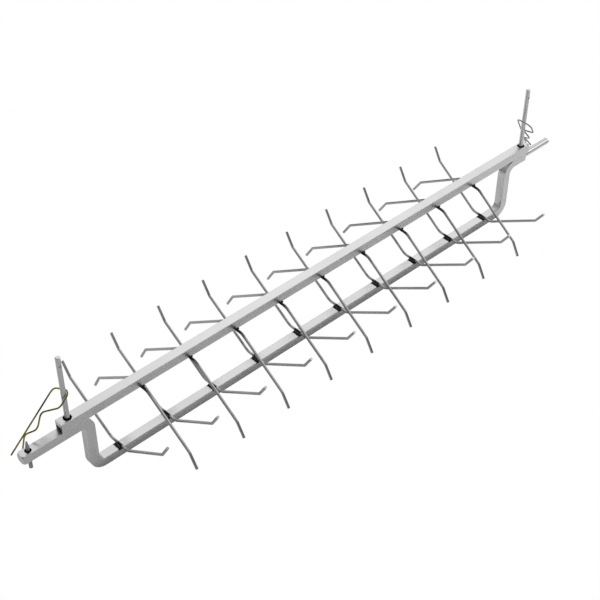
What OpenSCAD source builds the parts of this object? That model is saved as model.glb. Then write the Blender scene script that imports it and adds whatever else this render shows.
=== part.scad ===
// Two-bar cradle spit for a rotisserie.
// A cranked square bar carries the lower tines. A clamp bar with downward tines slides on
// two upright guide rods and closes on the roast. Units are millimetres.
// X runs along the bars from the square drive end to the round journal, Y is front (-) to
// back (+), Z is up. The origin is the centre of the drive end's face, on the spin axis.

/* [Cranked bar] */
// Side of the square bar the spit is bent from
bar_side = 12; // [10:0.5:16]
// Edge radius of both square bars
bar_edge = 0.7; // [0.3:0.1:1.5]
// Distance from the spin axis down to the top of the lowered run
crank_drop = 69.3; // [50:0.1:90]
// Position of the drive-side leg's centre line
leg_drive_x = 87.3; // [75:0.1:100]
// Position of the journal-side leg's centre line
leg_journal_x = 797.7; // [700:0.1:900]
// Centre-line bend radius where the drive stub turns down
bend_top_drive = 10; // [9:0.5:30]
// Centre-line bend radius where the journal-side leg turns into its end
bend_top_journal = 15; // [9:0.5:30]
// Centre-line bend radius of both bends at the lowered run
bend_low = 14; // [9:0.5:30]
// End of the square section on the journal side
bar_end_x = 835.5; // [820:0.5:860]
// Turned chamfer on the square drive end
drive_chamfer = 2.2; // [0:0.1:4]

/* [Journal] */
// Diameter of the round journal
journal_d = 9; // [6:0.5:12]
// Overall length of the spit, drive face to journal tip
overall_length = 889; // [800:1:950]
// Chamfer at the journal tip
journal_chamfer = 1; // [0:0.1:2]
// Diameter of the journal's spigot inside the square bar
spigot_d = 7; // [4:0.5:8]
// Depth of the spigot in the square bar
spigot_depth = 3; // [2:0.5:4]

/* [Drive pin] */
// Diameter of the cross pin near the drive end
drive_pin_d = 4.5; // [3:0.1:6]
// Distance from the drive face to the cross pin
drive_pin_x = 10.5; // [8:0.5:24]
// Height of the pin's upper tip above the spin axis
drive_pin_up = 19.5; // [10:0.5:26]
// Depth of the pin's lower tip below the spin axis
drive_pin_down = 21.5; // [10:0.5:26]
// Length of the pin's taper to its upper tip
drive_pin_taper = 8; // [1:0.5:12]
// Mouth diameter of the countersink round the pin
drive_sink_d = 8; // [6:0.1:9]
// Depth of the countersink round the pin
drive_sink_depth = 2.2; // [0.5:0.1:4]

/* [Clamp bar] */
// Side of the square clamp bar
clamp_side = 12.7; // [10:0.1:16]
// Gap between the clamp bar and the spit's ends when closed
closed_gap = 0.2; // [0.1:0.05:1]
// Drive-side end of the clamp bar
clamp_start_x = 51.6; // [45:0.1:60]
// Journal-side end of the clamp bar
clamp_end_x = 839.4; // [830:0.1:850]
// Width of the pocket under the clamp bar's drive-side end
pocket_width = 10; // [5:0.1:10.5]
// Height of the pocket under the clamp bar's drive-side end
pocket_height = 7.1; // [3:0.1:9]
// Diameter of the sliding holes for the guide rods
slide_hole_d = 10; // [6.5:0.1:10.5]

/* [Guide rods] */
// Diameter of the guide rods
rod_d = 6; // [5:0.5:8]
// Position of the drive-side guide rod
rod_drive_x = 63.6; // [58:0.1:72]
// Position of the journal-side guide rod
rod_journal_x = 828.1; // [820:0.1:834]
// Height of the guide rods' tops above the spin axis
rod_top = 109.6; // [80:0.1:130]
// Depth of the guide rods' seats in the spit
rod_seat_depth = 9; // [5:0.5:11]
// Chamfer at the guide rods' tops
rod_chamfer = 0.8; // [0.2:0.1:2]
// Diameter of the hairpin hole near each rod's top
cross_hole_d = 3.4; // [2:0.1:4]
// Distance from the rod's top down to the hairpin hole
cross_hole_drop = 11.6; // [6:0.1:16]

/* [Tines] */
// Diameter of the tine wire
wire_d = 3.5; // [2.5:0.1:4]
// Spacing of the tines along both bars
tine_pitch = 70.5; // [50:0.1:90]
// Number of tines on the cranked bar
lower_count = 10; // [4:1:12]
// Number of tines on the clamp bar
upper_count = 9; // [3:1:11]
// Position of the first lower tine
lower_first_x = 124.7; // [110:0.1:140]
// Position of the first upper tine
upper_first_x = 159.8; // [140:0.1:180]
// Depth of the shallow seats the tines lie in
seat_depth = 0.5; // [0.3:0.1:1]
// Total change of the tines' set angle from the drive side to the journal side, degrees
set_angle_change = 5; // [0:0.1:8]
// Lower tine, half-length of the flat crossing
lower_flat = 15.7; // [10:0.1:25]
// Lower tine, reach of the long arm's end
lower_arm_y = 87.2; // [60:0.1:110]
// Lower tine, rise of the long arm's end
lower_arm_z = 46.6; // [30:0.1:70]
// Lower tine, reach of the tip
lower_tip_y = 98.8; // [70:0.1:120]
// Lower tine, rise of the tip
lower_tip_z = 65; // [40:0.1:90]
// Upper tine, half-length of the flat crossing
upper_flat = 15.8; // [10:0.1:30]
// Upper tine, reach of the long arm's end
upper_arm_y = 85.2; // [60:0.1:110]
// Upper tine, drop of the long arm's end
upper_arm_z = 47.3; // [30:0.1:70]
// Upper tine, reach of the tip
upper_tip_y = 96.3; // [70:0.1:120]
// Upper tine, drop of the tip
upper_tip_z = 65.6; // [40:0.1:90]
// Bend radius beside the flat crossing
tine_bend_inner = 14; // [5:0.5:25]
// Bend radius at the end of the long arm
tine_bend_outer = 6; // [4:0.5:12]
// Radius of the weld bead beside each crossing
bead_r = 1.8; // [0.8:0.1:2]
// Length of the weld beads on the cranked bar
bead_length = 10.4; // [6:0.1:11]
// Length of the weld beads under the clamp bar, which show past both its faces
upper_bead_length = 16.4; // [6:0.1:18]

/* [Hairpin clips] */
// Wire diameter of both hairpin clips
clip_wire_d = 1.9; // [1.5:0.1:2.5]

/* [Hidden] */
$fn = 48;
half = bar_side / 2;
run_z = -crank_drop - half;
clamp_z = half + closed_gap;
comb_mid_x = lower_first_x + (lower_count - 1) * tine_pitch / 2;
comb_half = (lower_count - 1) * tine_pitch / 2;
lower_wire_z = -crank_drop - seat_depth + wire_d / 2;
upper_wire_z = clamp_z + seat_depth - wire_d / 2;
cut = 0.02;
bend_lap = 0.15;
bend_swell = 0.015;

// Hairpin clip, from the straight leg's end round the bow to the flared tip
clip_path = [[89.1, 21.2], [1.8, 21.2], [-9.1, -5.2], [13, -5.1],
             [31.4, 16.9], [47.4, 6.9], [62.2, 20.5], [74.2, 10.4]];
clip_bends = [9, 6, 9, 6, 7, 5];
// How each clip hangs: place of its bow and its turn about X, Y and Z
clip_drive_at = [63.9, 0.4, 52.6];
clip_drive_turn = [-170.2, 42, -178.6];
clip_journal_at = [817.4, -17.1, 63.3];
clip_journal_turn = [17.2, 54.9, 15.3];

// Position of a tine along the bars, counted from 1
function lower_x(i) = lower_first_x + (i - 1) * tine_pitch;
function upper_x(i) = upper_first_x + (i - 1) * tine_pitch;
// Set angle of a tine about the bar, degrees
function set_angle(x) = set_angle_change / 2 * (x - comb_mid_x) / comb_half;
// Heading of a 2D step, degrees
function heading(a, b) = atan2(b[1] - a[1], b[0] - a[0]);
// Signed turn at the middle one of three points, degrees
function turn(a, b, c) = (heading(b, c) - heading(a, b) + 540) % 360 - 180;
// Length a bend takes off each leg at the middle point
function bend_cut(a, b, c, r) = r * tan(abs(turn(a, b, c)) / 2);

// Square profile with rounded edges, centred
module square_profile(side, edge) {
  square([side, side - 2 * edge], center = true);
  square([side - 2 * edge, side], center = true);
  for (x = [-1, 1], y = [-1, 1])
    translate([x * (side / 2 - edge), y * (side / 2 - edge)]) circle(r = edge);
}

// Straight square bar along +X from the origin
module bar_x(length, side = bar_side) {
  rotate([90, 0, 90]) linear_extrude(length) square_profile(side, bar_edge);
}

// Straight square bar along +Z from the origin
module bar_z(length) {
  linear_extrude(length) square_profile(bar_side, bar_edge);
}

// Quarter bend of the square bar in the XZ plane round its centre, from angle a to a + 90
module bar_bend(x, z, r, a) {
  translate([x, 0, z]) rotate([90, 0, 0]) rotate([0, 0, a])
    rotate_extrude(angle = 90) translate([r, 0]) square_profile(bar_side, bar_edge);
}

// Round wire through 2D points, with one bend radius for each inner point.
// The bends come out a hair thicker than the straights, which run a little way into them.
module wire(points, bends, d) {
  last = len(points) - 1;
  cuts = [for (i = [0:last]) i == 0 || i == last ? 0
          : bend_cut(points[i - 1], points[i], points[i + 1], bends[i - 1]) - bend_lap];
  for (i = [0:last - 1]) {
    h = heading(points[i], points[i + 1]);
    length = norm(points[i + 1] - points[i]) - cuts[i] - cuts[i + 1];
    translate([points[i][0], points[i][1], 0]) rotate([0, 0, h]) translate([cuts[i], 0, 0])
      rotate([0, 90, 0]) cylinder(d = d, h = length);
  }
  for (i = [1:last - 1]) {
    t = turn(points[i - 1], points[i], points[i + 1]);
    h = heading(points[i - 1], points[i]);
    side = t > 0 ? 1 : -1;
    r = bends[i - 1];
    translate([points[i][0], points[i][1], 0]) rotate([0, 0, h])
      translate([-cuts[i] - bend_lap, side * r, 0])
      rotate([0, 0, t > 0 ? -90 : 90 + t]) rotate_extrude(angle = abs(t))
      translate([r, 0]) circle(d = d + 2 * bend_swell);
  }
}

// Straight cut of the tine wire's size across a bar, for its seat
module wire_seat(x, z) {
  translate([x, 0, z]) rotate([set_angle(x), 0, 0]) rotate([90, 0, 0])
    cylinder(d = wire_d + 2 * cut, h = 2 * bar_side, center = true);
}

// Spit bent from one square bar: drive stub, leg, lowered run, leg, journal-side end
module cranked_bar() {
  color([0.72, 0.73, 0.74]) difference() {
    union() {
      intersection() {
        bar_x(leg_drive_x - bend_top_drive);
        rotate([0, 90, 0]) rotate_extrude() polygon([[0, 0], [half * 1.42 - drive_chamfer, 0],
          [half * 1.42, drive_chamfer], [half * 1.42, leg_drive_x], [0, leg_drive_x]]);
      }
      bar_bend(leg_drive_x - bend_top_drive, -bend_top_drive, bend_top_drive, 0);
      translate([leg_drive_x, 0, run_z + bend_low])
        bar_z(-run_z - bend_low - bend_top_drive);
      bar_bend(leg_drive_x + bend_low, run_z + bend_low, bend_low, 180);
      translate([leg_drive_x + bend_low, 0, run_z])
        bar_x(leg_journal_x - leg_drive_x - 2 * bend_low);
      bar_bend(leg_journal_x - bend_low, run_z + bend_low, bend_low, 270);
      translate([leg_journal_x, 0, run_z + bend_low])
        bar_z(-run_z - bend_low - bend_top_journal);
      bar_bend(leg_journal_x + bend_top_journal, -bend_top_journal, bend_top_journal, 90);
      translate([leg_journal_x + bend_top_journal, 0, 0])
        bar_x(bar_end_x - leg_journal_x - bend_top_journal);
    }
    for (i = [1:lower_count]) wire_seat(lower_x(i), lower_wire_z);
    for (x = [rod_drive_x, rod_journal_x])
      translate([x, 0, half - rod_seat_depth]) cylinder(d = rod_d + 2 * cut, h = 20);
    translate([bar_end_x - spigot_depth - 0.5, 0, 0]) rotate([0, 90, 0])
      cylinder(d = spigot_d + 2 * cut, h = 30);
    translate([drive_pin_x, 0, -bar_side]) cylinder(d = drive_pin_d + 2 * cut, h = 2 * bar_side);
    for (s = [0, 180]) rotate([s, 0, 0]) translate([drive_pin_x, 0, half - drive_sink_depth])
      cylinder(d1 = drive_pin_d + 2 * cut, d2 = drive_sink_d, h = drive_sink_depth + 0.001);
  }
}

// Round journal with a spigot set in the square bar's end
module journal_stub() {
  tip = overall_length;
  r = journal_d / 2;
  color([0.78, 0.79, 0.8]) rotate([0, 90, 0]) rotate_extrude() polygon([
    [0, bar_end_x - spigot_depth], [spigot_d / 2, bar_end_x - spigot_depth],
    [spigot_d / 2, bar_end_x + cut], [r, bar_end_x + cut], [r, tip - journal_chamfer],
    [r - journal_chamfer, tip], [0, tip]]);
}

// Cross pin at the drive end, pointed on top and rounded off below
module drive_pin() {
  r = drive_pin_d / 2;
  color([0.4, 0.4, 0.41]) translate([drive_pin_x, 0, 0]) rotate_extrude() polygon([
    [0, -drive_pin_down], [r - 1, -drive_pin_down], [r, -drive_pin_down + 1],
    [r, drive_pin_up - drive_pin_taper], [r - 1.3, drive_pin_up], [0, drive_pin_up]]);
}

// Upright guide rod with a chamfered top and a hairpin hole from front to back
module guide_rod(x) {
  r = rod_d / 2;
  color([0.7, 0.71, 0.72]) difference() {
    translate([x, 0, 0]) rotate_extrude() polygon([[0, half - rod_seat_depth],
      [r, half - rod_seat_depth], [r, rod_top - rod_chamfer], [r - rod_chamfer, rod_top],
      [0, rod_top]]);
    translate([x, 0, rod_top - cross_hole_drop]) rotate([90, 0, 0])
      cylinder(d = cross_hole_d, h = 2 * rod_d, center = true);
  }
}

// Lower tine: flat across the bar, arms out and up, tips steeper
module lower_tine(i) {
  x = lower_x(i);
  color([0.66, 0.67, 0.68]) translate([x, 0, lower_wire_z]) rotate([set_angle(x), 0, 0])
    rotate([90, 0, 90]) wire([[-lower_tip_y, lower_tip_z], [-lower_arm_y, lower_arm_z],
      [-lower_flat, 0], [lower_flat, 0], [lower_arm_y, lower_arm_z], [lower_tip_y, lower_tip_z]],
      [tine_bend_outer, tine_bend_inner, tine_bend_inner, tine_bend_outer], wire_d);
}

// Upper tine: the same idea turned over, arms out and down
module upper_tine(i) {
  x = upper_x(i);
  color([0.66, 0.67, 0.68]) translate([x, 0, upper_wire_z]) rotate([set_angle(x), 0, 0])
    rotate([90, 0, 90]) wire([[-upper_tip_y, -upper_tip_z], [-upper_arm_y, -upper_arm_z],
      [-upper_flat, 0], [upper_flat, 0], [upper_arm_y, -upper_arm_z], [upper_tip_y, -upper_tip_z]],
      [tine_bend_outer, tine_bend_inner, tine_bend_inner, tine_bend_outer], wire_d);
}

// Weld bead in the corner between a tine and the face it lies on. up = 1 for a top face and
// -1 for an underside, toward = -1 for the tine's drive side and 1 for its journal side
module weld_bead(x, wire_z, face_z, up, toward, length) {
  side = wire_d / 2 + 0.6;
  difference() {
    translate([x + toward * side, 0, face_z + up * 0.3]) rotate([90, 0, 0])
      cylinder(r = bead_r, h = length, center = true);
    wire_seat(x, wire_z);
    translate([x - 5, -10, up > 0 ? face_z - 10 + cut : face_z - cut]) cube([10, 20, 10]);
  }
}

// Beads that hold the lower tines
module lower_tine_welds() {
  color([0.2, 0.19, 0.18]) for (i = [1:lower_count])
    weld_bead(lower_x(i), lower_wire_z, -crank_drop, 1, -1, bead_length);
}

// Beads that hold the upper tines
module upper_tine_welds() {
  color([0.2, 0.19, 0.18]) for (i = [1:upper_count])
    weld_bead(upper_x(i), upper_wire_z, clamp_z, -1, 1, upper_bead_length);
}

// Clamp bar with its end pocket, tine seats and two sliding holes
module clamp_bar() {
  color([0.76, 0.77, 0.78]) difference() {
    translate([clamp_start_x, 0, clamp_z + clamp_side / 2])
      bar_x(clamp_end_x - clamp_start_x, clamp_side);
    translate([clamp_start_x - 1, -pocket_width / 2, clamp_z - 1])
      cube([rod_drive_x - clamp_start_x + 1, pocket_width, pocket_height + 1]);
    for (x = [rod_drive_x, rod_journal_x])
      translate([x, 0, clamp_z - 1]) cylinder(d = slide_hole_d, h = clamp_side + 2);
    for (i = [1:upper_count]) wire_seat(upper_x(i), upper_wire_z);
  }
}

// Hairpin clip of spring wire, hung with its bow round a guide rod
module hairpin_clip(at, turn) {
  translate(at) rotate(turn) wire(clip_path, clip_bends, clip_wire_d);
}

// Clip at the drive side, legs down beside the drive stub
module hairpin_clip_drive() {
  color([0.45, 0.37, 0.15]) hairpin_clip(clip_drive_at, clip_drive_turn);
}

// Clip at the journal side, legs down behind the journal
module hairpin_clip_journal() {
  color([0.5, 0.5, 0.5]) hairpin_clip(clip_journal_at, clip_journal_turn);
}

cranked_bar();
journal_stub();
drive_pin();
guide_rod(rod_drive_x);  // guide_rod_drive
guide_rod(rod_journal_x);  // guide_rod_journal
lower_tine(1);  // lower_tine_01
lower_tine(2);  // lower_tine_02
lower_tine(3);  // lower_tine_03
lower_tine(4);  // lower_tine_04
lower_tine(5);  // lower_tine_05
lower_tine(6);  // lower_tine_06
lower_tine(7);  // lower_tine_07
lower_tine(8);  // lower_tine_08
lower_tine(9);  // lower_tine_09
lower_tine(10);  // lower_tine_10
lower_tine_welds();
clamp_bar();
upper_tine(1);  // upper_tine_01
upper_tine(2);  // upper_tine_02
upper_tine(3);  // upper_tine_03
upper_tine(4);  // upper_tine_04
upper_tine(5);  // upper_tine_05
upper_tine(6);  // upper_tine_06
upper_tine(7);  // upper_tine_07
upper_tine(8);  // upper_tine_08
upper_tine(9);  // upper_tine_09
upper_tine_welds();
hairpin_clip_drive();
hairpin_clip_journal();
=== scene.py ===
"""Looks of the two-bar rotisserie spit: brushed and drawn steel under a soft studio sky."""
import math
import random

import bpy
import bmesh
from mathutils import Matrix, Vector, noise


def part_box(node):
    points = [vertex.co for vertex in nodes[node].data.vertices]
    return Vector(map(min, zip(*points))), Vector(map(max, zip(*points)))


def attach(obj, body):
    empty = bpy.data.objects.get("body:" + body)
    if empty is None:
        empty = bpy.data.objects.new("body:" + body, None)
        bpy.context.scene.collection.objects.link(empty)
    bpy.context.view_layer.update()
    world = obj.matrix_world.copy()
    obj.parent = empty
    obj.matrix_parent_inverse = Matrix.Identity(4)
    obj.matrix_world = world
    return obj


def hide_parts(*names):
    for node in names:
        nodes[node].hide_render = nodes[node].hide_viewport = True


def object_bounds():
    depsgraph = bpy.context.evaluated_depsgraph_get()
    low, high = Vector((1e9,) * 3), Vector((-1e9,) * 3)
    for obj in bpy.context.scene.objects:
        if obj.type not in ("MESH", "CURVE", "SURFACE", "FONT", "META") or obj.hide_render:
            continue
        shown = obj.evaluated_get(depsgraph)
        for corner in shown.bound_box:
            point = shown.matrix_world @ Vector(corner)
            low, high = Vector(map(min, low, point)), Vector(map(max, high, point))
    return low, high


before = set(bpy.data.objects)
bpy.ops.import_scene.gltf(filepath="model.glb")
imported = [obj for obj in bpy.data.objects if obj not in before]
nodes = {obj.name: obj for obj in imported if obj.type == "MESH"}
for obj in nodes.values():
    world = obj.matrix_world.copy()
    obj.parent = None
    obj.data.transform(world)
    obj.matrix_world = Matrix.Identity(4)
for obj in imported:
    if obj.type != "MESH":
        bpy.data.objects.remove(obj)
cad_box = [list(c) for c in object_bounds()]
scene = bpy.context.scene
lower_tines = sorted(n for n in nodes if n.startswith("lower_tine_") and not n.endswith("welds"))
upper_tines = sorted(n for n in nodes if n.startswith("upper_tine_") and not n.endswith("welds"))


# ---------------------------------------------------------------- node helpers
class Shader:
    """A small builder for one material's node tree."""

    def __init__(self, name):
        self.mat = bpy.data.materials.new(name)
        self.mat.use_nodes = True
        self.tree = self.mat.node_tree
        self.bsdf = self.tree.nodes["Principled BSDF"]
        self.pos = self.tree.nodes.new("ShaderNodeTexCoord").outputs["Object"]

    def node(self, kind, **inputs):
        """A new node, with inputs set by name (an underscore stands for a space)."""
        n = self.tree.nodes.new(kind)
        for key, value in inputs.items():
            self.put(n.inputs[key.replace("_", " ")], value)
        return n

    def put(self, socket, value):
        """Link a socket to an input, or set the input's value."""
        if isinstance(value, bpy.types.NodeSocket):
            self.tree.links.new(value, socket)
        else:
            socket.default_value = value

    def math(self, op, a, b=0.0, clamp=False):
        n = self.tree.nodes.new("ShaderNodeMath")
        n.operation, n.use_clamp = op, clamp
        self.put(n.inputs[0], a)
        self.put(n.inputs[1], b)
        return n.outputs[0]

    def stretched(self, scale, turn=(0, 0, 0)):
        """Object position, turned and then scaled on each axis."""
        n = self.tree.nodes.new("ShaderNodeMapping")
        n.vector_type = "TEXTURE"
        self.put(n.inputs["Vector"], self.pos)
        n.inputs["Rotation"].default_value = turn
        n.inputs["Scale"].default_value = [1 / s for s in scale]
        return n.outputs[0]

    def noise(self, vector, scale, detail=4.0, rough=0.55):
        n = self.node("ShaderNodeTexNoise", Scale=scale, Detail=detail, Roughness=rough)
        self.put(n.inputs["Vector"], vector)
        return n.outputs["Fac"]

    def ramp(self, fac, stops):
        """Colour ramp from (position, colour or grey) stops."""
        n = self.tree.nodes.new("ShaderNodeValToRGB")
        self.put(n.inputs["Fac"], fac)
        while len(n.color_ramp.elements) < len(stops):
            n.color_ramp.elements.new(0.5)
        for e, (p, c) in zip(n.color_ramp.elements, stops):
            e.position = p
            e.color = (c, c, c, 1) if isinstance(c, (int, float)) else (*c, 1)
        return n.outputs["Color"]

    def span(self, value, lo, hi, to_lo, to_hi):
        """Value from lo..hi carried to to_lo..to_hi, clamped."""
        n = self.tree.nodes.new("ShaderNodeMapRange")
        self.put(n.inputs["Value"], value)
        for key, v in zip(("From Min", "From Max", "To Min", "To Max"), (lo, hi, to_lo, to_hi)):
            n.inputs[key].default_value = v
        return n.outputs[0]

    def mix(self, fac, a, b, kind="RGBA", blend="MIX"):
        n = self.tree.nodes.new("ShaderNodeMix")
        n.data_type, n.blend_type = kind, blend
        at = {"RGBA": (6, 7, 2), "FLOAT": (2, 3, 0)}[kind]
        self.put(n.inputs[0], fac)
        self.put(n.inputs[at[0]], a)
        self.put(n.inputs[at[1]], b)
        return n.outputs[at[2]]

    def edge_wear_and_highlight(self, radius):
        """1 at sharp edges and 0 on open faces."""
        bev = self.node("ShaderNodeBevel", Radius=radius)
        bev.samples = 4
        geo = self.tree.nodes.new("ShaderNodeNewGeometry")
        dot = self.tree.nodes.new("ShaderNodeVectorMath")
        dot.operation = "DOT_PRODUCT"
        self.put(dot.inputs[0], bev.outputs[0])
        self.put(dot.inputs[1], geo.outputs["Normal"])
        return self.span(dot.outputs["Value"], 0.995, 0.90, 0.0, 1.0)

    def bump(self, height, strength, distance):
        n = self.node("ShaderNodeBump", Strength=strength, Distance=distance, Height=height)
        self.put(self.bsdf.inputs["Normal"], n.outputs[0])

    def axes(self):
        """Object position as separate X, Y and Z."""
        xyz = self.node("ShaderNodeSeparateXYZ")
        self.put(xyz.inputs[0], self.pos)
        return [xyz.outputs[a] for a in "XYZ"]

    def painted_shade(self, darkening, bands):
        """Painted shade: black rings round upright holes and ragged bands beside the tines."""
        x, y, z = self.axes()
        fade = 0.0012
        rag = self.span(self.noise(self.pos, 520.0, 3.0, 0.6), 0.3, 0.7, -0.0006, 0.0006)
        patches = []
        for at, inner, outer in darkening:
            dx = self.math("SUBTRACT", x, at)
            squares = self.math("ADD", self.math("MULTIPLY", dx, dx), self.math("MULTIPLY", y, y))
            away = self.math("ADD", self.math("SQRT", squares), rag)
            patches.append(self.span(away, inner, outer, 1.0, 0.0))
        if bands:
            first, pitch, count, low, high, half_width = bands
            step = self.math("DIVIDE", self.math("SUBTRACT", x, first), pitch)
            near = self.math("ROUND", step)
            off = self.math("MULTIPLY", self.math("SUBTRACT", step, near), pitch)
            off = self.math("ADD", self.math("ABSOLUTE", off), rag)
            band = self.span(off, half_width, half_width + fade, 1.0, 0.0)
            limits = (
                (near, -0.6, -0.4),
                (self.math("MULTIPLY", near, -1.0), 0.4 - count, 0.6 - count),
                (z, low - fade, low),
                (self.math("MULTIPLY", z, -1.0), -high - fade, -high),
            )
            for value, gone, full in limits:
                band = self.math("MULTIPLY", band, self.span(value, gone, full, 0.0, 1.0))
            patches.append(band)
        total = patches[0]
        for patch in patches[1:]:
            total = self.math("MAXIMUM", total, patch)
        return total

    def painted_root_shade(self, shaded_to, unshaded_from):
        """Painted shade round y = 0, where the wire meets its bar: black up to the first distance,
        gone at the second.
        """
        rag = self.span(self.noise(self.pos, 160.0, 3.0, 0.6), 0.3, 0.7, -0.004, 0.004)
        away = self.math("ADD", self.math("ABSOLUTE", self.axes()[1]), rag)
        root_shade = self.span(away, shaded_to, unshaded_from, 1.0, 0.0)
        return self.ramp(root_shade, [(0.0, 1.0), (0.45, (0.62, 0.60, 0.57)),
                                (0.8, (0.16, 0.15, 0.15)), (1.0, 0.05)])

    def metal(self, colour, roughness):
        self.put(self.bsdf.inputs["Base Color"], colour)
        self.put(self.bsdf.inputs["Roughness"], roughness)
        self.bsdf.inputs["Metallic"].default_value = 1.0
        return self.mat


def between(light, dark):
    return [(a + b) / 2 for a, b in zip(light, dark)]


def grained(name, light, dark, rough, along, blotch=0.5, bump=0.25, root=None):
    """Drawn or turned steel: fine lines along the axes set to 1, with soft cloudy variation.
    root = (black up to, gone from) distances from y = 0 of painted shade where the wire meets its
    bar."""
    s = Shader(name)
    long, across = 14.0, 1400.0
    scale = [long if a else across for a in along]
    fine = s.noise(s.stretched(scale), 1.0, 3.0, 0.6)
    coarse = s.noise(s.stretched([v * 0.28 for v in scale]), 1.0, 2.0, 0.5)
    cloud = s.noise(s.pos, 26.0, 4.0, 0.6)
    lines = s.mix(0.45, fine, coarse, "FLOAT")
    tone = s.mix(blotch * 0.5, lines, cloud, "FLOAT")
    colour = s.ramp(tone, [(0.30, dark), (0.50, between(light, dark)), (0.70, light)])
    if root:
        # Painted shade darkens the wire where it meets its bar.
        colour = s.mix(1.0, colour, s.painted_root_shade(*root), blend="MULTIPLY")
    roughness = s.math("ADD", s.span(lines, 0.3, 0.7, rough - 0.06, rough + 0.08),
                       s.span(cloud, 0.35, 0.7, -0.04, 0.05), True)
    s.bump(lines, bump, 0.00006)
    return s.metal(colour, roughness)


def square_bar(name, light, dark, rough, darkening, legs=None, bands=None):
    """Ground square bar. legs = (low z, high z) where the grain turns upright.
    darkening = (x, inner radius, outer radius) of painted shade rings round upright holes.
    bands = (first x, pitch, count, low z, high z, half-width) of painted shade bands by the tines."""
    s = Shader(name)
    along_x = s.noise(s.stretched((9.0, 1500.0, 1500.0)), 1.0, 4.0, 0.62)
    broad_x = s.noise(s.stretched((5.0, 260.0, 260.0)), 1.0, 3.0, 0.55)
    lines = s.mix(0.4, along_x, broad_x, "FLOAT")
    if legs:
        along_z = s.noise(s.stretched((1500.0, 1500.0, 9.0)), 1.0, 4.0, 0.62)
        broad_z = s.noise(s.stretched((260.0, 260.0, 5.0)), 1.0, 3.0, 0.55)
        up = s.mix(0.4, along_z, broad_z, "FLOAT")
        z = s.axes()[2]
        inside = s.math("MULTIPLY", s.span(z, legs[0], legs[0] + 0.008, 0.0, 1.0),
                        s.span(z, legs[1] - 0.008, legs[1], 1.0, 0.0))
        lines = s.mix(inside, lines, up, "FLOAT")
    cloud = s.noise(s.pos, 18.0, 5.0, 0.62)
    tone = s.mix(0.38, lines, cloud, "FLOAT")
    base = s.ramp(tone, [(0.32, dark), (0.52, between(light, dark)), (0.68, light)])
    scuff = s.ramp(s.noise(s.stretched((30.0, 180.0, 180.0), (0.3, 0.5, 0.4)), 1.0, 6.0, 0.7),
                   [(0.66, 0.0), (0.72, 1.0)])
    base = s.mix(s.math("MULTIPLY", scuff, 0.16), base, (0.86, 0.86, 0.86, 1))
    edge = s.edge_wear_and_highlight(0.0006)
    # Lighter along the edges: wear, and a painted edge highlight.
    colour = s.mix(s.math("MULTIPLY", edge, 0.12), base, (0.9, 0.9, 0.9, 1))
    # Painted shade: near-black rings round the holes and bands beside the tines.
    colour = s.mix(s.painted_shade(darkening, bands), colour, (0.02, 0.019, 0.018, 1))
    roughness = s.math("ADD", s.span(lines, 0.3, 0.7, rough - 0.05, rough + 0.07),
                       s.span(cloud, 0.35, 0.7, -0.05, 0.05), True)
    s.bump(lines, 0.07, 0.00005)
    return s.metal(colour, roughness)


def burnt(name):
    """Weld metal: dark oxide with straw and blue temper tints and tiny ripples."""
    s = Shader(name)
    ripple = s.node("ShaderNodeTexWave", Scale=420.0, Distortion=3.0, Detail=2.0)
    ripple.bands_direction = "Y"
    s.put(ripple.inputs["Vector"], s.pos)
    darkening = s.noise(s.pos, 380.0, 5.0, 0.65)
    colour = s.ramp(darkening, [(0.30, (0.012, 0.011, 0.011)), (0.50, (0.035, 0.03, 0.028)),
                           (0.62, (0.10, 0.075, 0.05)), (0.74, (0.20, 0.19, 0.19))])
    s.bump(s.mix(0.5, ripple.outputs["Fac"], darkening, "FLOAT"), 0.5, 0.0002)
    s.metal(colour, s.span(darkening, 0.3, 0.7, 0.62, 0.42))
    s.bsdf.inputs["Metallic"].default_value = 0.65
    return s.mat


def give(name, material):
    """Put one material on a CAD node."""
    data = nodes[name].data
    data.materials.clear()
    data.materials.append(material)


def middle_x(name):
    low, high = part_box(name)
    return 0.5 * (low[0] + high[0])


pin_x, rod_1_x, rod_2_x = (middle_x(n) for n in ("drive_pin", "guide_rod_drive", "guide_rod_journal"))
tine_x = middle_x(lower_tines[0])
tine_pitch = middle_x(lower_tines[1]) - tine_x
run_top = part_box(lower_tines[0])[0][2]

# The cranked bar gets painted shade rings round the pin and rods, and painted shade bands beside the
# lower tines.
steel_crank = square_bar(
    "ground_steel_cranked", (0.70, 0.70, 0.71), (0.58, 0.58, 0.59), 0.30,
    darkening=((pin_x, 0.0036, 0.0043), (rod_1_x, 0.0046, 0.0056), (rod_2_x, 0.0046, 0.0056)),
    legs=(-0.066, -0.008),
    bands=(tine_x - 0.0028, tine_pitch, len(lower_tines), run_top - 0.0006, run_top + 0.003, 0.0022))
# The clamp bar gets painted shade rings round its rod holes.
steel_clamp = square_bar(
    "ground_steel_clamp", (0.72, 0.72, 0.73), (0.60, 0.60, 0.61), 0.30,
    darkening=((rod_1_x, 0.0049, 0.0055), (rod_2_x, 0.0049, 0.0055)))
turned = grained("turned_steel_journal", (0.74, 0.74, 0.75), (0.60, 0.60, 0.61), 0.20, (0, 1, 1))
drawn_rod = grained("drawn_steel_rod", (0.68, 0.68, 0.69), (0.54, 0.54, 0.55), 0.24, (0, 0, 1))
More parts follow.
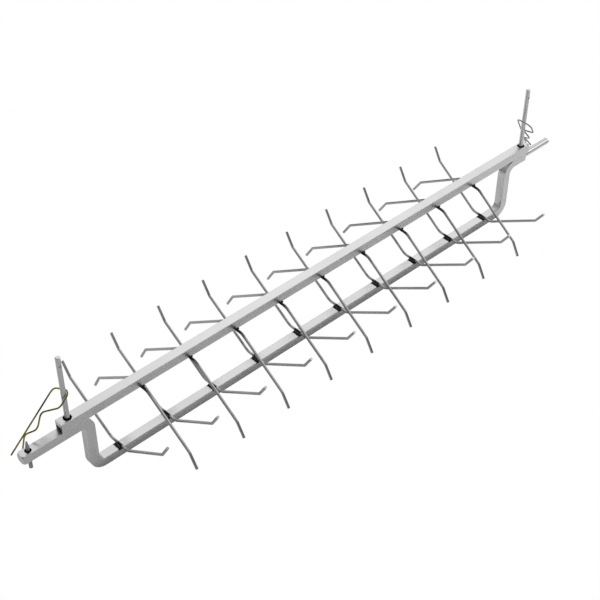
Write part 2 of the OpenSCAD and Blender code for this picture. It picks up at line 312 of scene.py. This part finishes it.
# Both wires carry painted shade where they meet their bar.
lower_wire = grained("drawn_steel_wire_lower", (0.60, 0.60, 0.61), (0.36, 0.36, 0.37), 0.15,
                     (0, 1, 1), blotch=0.9, bump=0.10, root=(0.0035, 0.0095))
upper_wire = grained("drawn_steel_wire_upper", (0.56, 0.56, 0.57), (0.30, 0.30, 0.31), 0.14,
                     (0, 1, 1), blotch=0.9, bump=0.10, root=(0.010, 0.026))
dull_pin = grained("dull_steel_pin", (0.42, 0.41, 0.40), (0.24, 0.23, 0.23), 0.38,
                   (0, 0, 1), blotch=1.0)
yellow_zinc = grained("yellow_zinc_wire", (0.66, 0.54, 0.09), (0.07, 0.06, 0.015), 0.18,
                      (1, 1, 1), blotch=1.9, bump=0.1)
spring = grained("spring_steel_wire", (0.40, 0.40, 0.41), (0.20, 0.20, 0.20), 0.26,
                 (1, 1, 1), blotch=1.4, bump=0.1)
weld_metal = burnt("weld_metal")

for tine in lower_tines:
    give(tine, lower_wire)
for tine in upper_tines:
    give(tine, upper_wire)
for name, material in (
    ("cranked_bar", steel_crank), ("clamp_bar", steel_clamp), ("journal_stub", turned),
    ("drive_pin", dull_pin), ("guide_rod_drive", drawn_rod), ("guide_rod_journal", drawn_rod),
    ("hairpin_clip_drive", yellow_zinc), ("hairpin_clip_journal", spring),
):
    give(name, material)


# ---------------------------------------------------------------- weld beads
def bead(bm, start, end, radius, seed):
    """A lumpy weld bead from start to end: rounded ends and ripples across it."""
    rings, around = 26, 14
    ripple_pitch, lump_scale, squash = 0.0011, 420.0, 0.86
    axis = end - start
    length = axis.length
    axis.normalize()
    side = axis.cross(Vector((0, 0, 1))).normalized()
    top = side.cross(axis)
    rows = []
    for i in range(rings + 1):
        t = i / rings
        taper = math.sqrt(max(0.0, 1.0 - abs(2 * t - 1) ** 5)) * 0.98 + 0.02
        ripple = 1.0 + 0.07 * math.sin(t * length / ripple_pitch * math.pi)
        row = []
        for j in range(around):
            a = 2 * math.pi * j / around
            at = start + axis * (length * t)
            sample = (at + side * math.cos(a) * 0.002) * lump_scale + Vector((seed, 0, a))
            lump = 1.0 + 0.22 * noise.noise(sample)
            r = radius * taper * ripple * lump
            row.append(bm.verts.new(at + side * (math.cos(a) * r) + top * (math.sin(a) * r * squash)))
        rows.append(row)
    for a, b in zip(rows, rows[1:]):
        for j in range(around):
            k = (j + 1) % around
            bm.faces.new((a[j], a[k], b[k], b[j]))
    bm.faces.new(list(reversed(rows[0])))
    bm.faces.new(rows[-1])


def beads(name, stand_in, tines, body, face_z, reach, toward):
    """One piece with a bead beside each tine, on its drive side (-1) or journal side (1)."""
    radius, beside, wander, uneven = 0.0018, 0.0006, 0.0004, 0.0006
    bm = bmesh.new()
    rng = random.Random(name)
    for i, tine in enumerate(tines):
        low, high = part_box(tine)
        x = middle_x(tine) + toward * (0.5 * (high[0] - low[0]) + beside)
        jog = rng.uniform(-wander, wander)
        start = Vector((x + jog, -reach + rng.uniform(-uneven, uneven), face_z))
        end = Vector((x - jog, reach + rng.uniform(-uneven, uneven), face_z))
        bead(bm, start, end, radius, 7.3 * i)
    bmesh.ops.recalc_face_normals(bm, faces=bm.faces)
    mesh = bpy.data.meshes.new(name)
    bm.to_mesh(mesh)
    bm.free()
    mesh.shade_smooth()
    piece = bpy.data.objects.new(name, mesh)
    scene.collection.objects.link(piece)
    mesh.materials.append(weld_metal)
    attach(piece, body)
    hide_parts(stand_in)


lower_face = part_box("lower_tine_welds")[0][2] + 0.0003
upper_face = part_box("upper_tine_welds")[1][2] - 0.0003
beads("lower_beads", "lower_tine_welds", lower_tines, "cradle", lower_face, 0.0054, -1)
beads("upper_beads", "upper_tine_welds", upper_tines, "clamp_comb", upper_face, 0.0082, 1)


# ---------------------------------------------------------------- studio
floor_z = cad_box[0][2] - 0.002

world = bpy.data.worlds.new("studio")
scene.world = world
world.use_nodes = True
wt = world.node_tree
background = wt.nodes["Background"]


def w_math(op, a, b):
    """A math node in the world's tree."""
    n = wt.nodes.new("ShaderNodeMath")
    n.operation = op
    for socket, value in zip(n.inputs, (a, b)):
        if isinstance(value, bpy.types.NodeSocket):
            wt.links.new(value, socket)
        else:
            socket.default_value = value
    return n.outputs[0]


direction = wt.nodes.new("ShaderNodeTexCoord").outputs["Generated"]


def softbox(towards, inner, outer, strength):
    """A round soft patch of light in the sky: full inside inner degrees, gone at outer."""
    dot = wt.nodes.new("ShaderNodeVectorMath")
    dot.operation = "DOT_PRODUCT"
    wt.links.new(direction, dot.inputs[0])
    dot.inputs[1].default_value = Vector(towards).normalized()
    m = wt.nodes.new("ShaderNodeMapRange")
    m.interpolation_type = "SMOOTHSTEP"
    wt.links.new(dot.outputs["Value"], m.inputs["Value"])
    m.inputs["From Min"].default_value = math.cos(math.radians(outer))
    m.inputs["From Max"].default_value = math.cos(math.radians(inner))
    return w_math("MULTIPLY", m.outputs[0], strength)


split = wt.nodes.new("ShaderNodeSeparateXYZ")
wt.links.new(direction, split.inputs[0])
height = wt.nodes.new("ShaderNodeMapRange")
height.interpolation_type = "SMOOTHSTEP"
wt.links.new(split.outputs["Z"], height.inputs["Value"])
height.inputs["From Min"].default_value = 0.02
height.inputs["From Max"].default_value = 0.50
height.inputs["To Min"].default_value = 0.16
height.inputs["To Max"].default_value = 0.42
level = height.outputs[0]
for patch in (
    softbox((0.53, 0.55, 0.65), 0, 26, 0.66),     # panel high at the back
    softbox((0.30, 0.75, 0.58), 10, 60, 0.22),    # its wide soft edge
    softbox((0.62, -0.50, 0.60), 8, 26, 1.1),     # strip light, front right
    softbox((0.95, 0.10, 0.30), 8, 30, 0.7),      # side light, right
):
    level = w_math("ADD", level, patch)
wt.links.new(level, background.inputs["Strength"])
background.inputs["Color"].default_value = (1.0, 1.0, 1.0, 1.0)

# The lamp lights the floor that the steel reflects; it isn't seen itself.
lamp = bpy.data.lights.new("floor_light", "AREA")
lamp.shape, lamp.size, lamp.energy = "DISK", 0.7, 17.0
lamp_object = bpy.data.objects.new("floor_light", lamp)
lamp_object.location = (1.5, 0.9, 0.9)
lamp_object.rotation_mode = "QUATERNION"
aim = Vector((0.55, 0.0, 0.0)) - lamp_object.location
lamp_object.rotation_quaternion = aim.to_track_quat("-Z", "Y")
lamp_object.visible_glossy = False
lamp_object.visible_camera = False
scene.collection.objects.link(lamp_object)

# The floor shows plain white and acts as a grey card in reflections.
floor_mesh = bpy.data.meshes.new("floor")
bm = bmesh.new()
bmesh.ops.create_grid(bm, x_segments=2, y_segments=2, size=40.0)
bm.to_mesh(floor_mesh)
bm.free()
floor = bpy.data.objects.new("floor", floor_mesh)
floor.location = (0.44, 0.0, floor_z)
scene.collection.objects.link(floor)
floor_mat = bpy.data.materials.new("floor_white")
floor_mat.use_nodes = True
ft = floor_mat.node_tree
ft.nodes.clear()
out = ft.nodes.new("ShaderNodeOutputMaterial")
seen = ft.nodes.new("ShaderNodeEmission")
seen.inputs["Color"].default_value = (1.0, 1.0, 1.0, 1.0)
seen.inputs["Strength"].default_value = 1.0
card = ft.nodes.new("ShaderNodeBsdfDiffuse")
card.inputs["Color"].default_value = (0.70, 0.70, 0.70, 1.0)
path = ft.nodes.new("ShaderNodeLightPath")
pick = ft.nodes.new("ShaderNodeMixShader")
ft.links.new(path.outputs["Is Camera Ray"], pick.inputs[0])
ft.links.new(card.outputs[0], pick.inputs[1])
ft.links.new(seen.outputs[0], pick.inputs[2])
ft.links.new(pick.outputs[0], out.inputs["Surface"])
floor_mesh.materials.append(floor_mat)

eye = (-0.42232, -0.88700, 1.04755)
camera_data = bpy.data.cameras.new("camera")
camera_data.lens = 78.11
camera_data.sensor_width = 36.0
camera_data.clip_start, camera_data.clip_end = 0.05, 100.0
camera = bpy.data.objects.new("camera", camera_data)
forward = Vector((0.51469, 0.54887, -0.65866)).normalized()
up = Vector((0.44720, 0.48359, 0.75243))
right = forward.cross(up).normalized()
up = right.cross(forward)
camera.matrix_world = Matrix((
    (right.x, up.x, -forward.x, eye[0]),
    (right.y, up.y, -forward.y, eye[1]),
    (right.z, up.z, -forward.z, eye[2]),
    (0, 0, 0, 1),
))
scene.collection.objects.link(camera)
scene.camera = camera

scene.view_settings.view_transform = "Standard"
scene.view_settings.look = "None"
